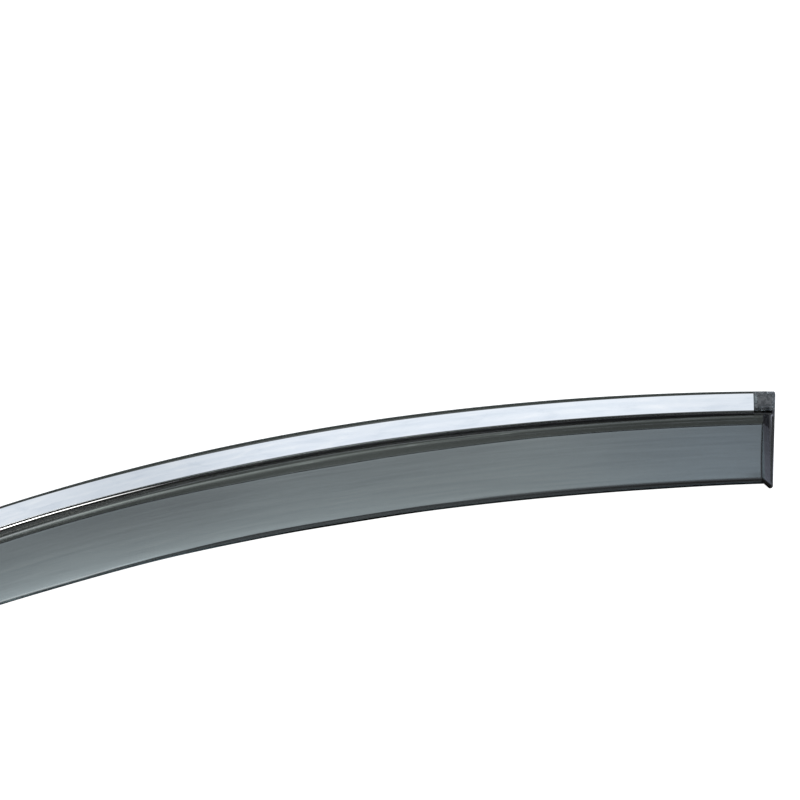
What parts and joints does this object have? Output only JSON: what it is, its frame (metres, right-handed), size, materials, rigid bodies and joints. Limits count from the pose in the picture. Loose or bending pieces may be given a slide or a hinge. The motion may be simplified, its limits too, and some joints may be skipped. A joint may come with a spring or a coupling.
{
  "type": "window rain deflector",
  "caption": "Curved smoke-tinted rain deflector for a car's side window, with a bright trim strip, end caps and foam mounting tape.",
  "frame": {"origin": "middle of the footprint, on the plane of the release liners, which is the door frame's face", "axes": "+X along the door towards the rear end, +Y up towards the roof line, +Z outwards from the door"},
  "size_m": [0.8081, 0.1437, 0.0162],
  "materials": {
    "smoke_plastic": "smoke-tinted clear acrylic, glossy",
    "cap_plastic": "smoke-tinted clear plastic, glossy",
    "bright_trim": "mirror-bright stainless strip",
    "foam_tape": "closed-cell adhesive foam",
    "liner_film": "thin release film"
  },
  "bodies": {
    "root": {"visor_body": "smoke_plastic", "trim_strip": "bright_trim", "trim_tape": "foam_tape", "end_cap_front": "cap_plastic", "end_cap_rear": "cap_plastic", "cap_pad_front": "foam_tape", "cap_pad_rear": "foam_tape", "mounting_tape_top": "foam_tape", "mounting_tape_front": "foam_tape", "mounting_tape_rear": "foam_tape", "liner_top": "liner_film", "liner_front": "liner_film", "liner_rear": "liner_film"}
  },
  "joints": []
}
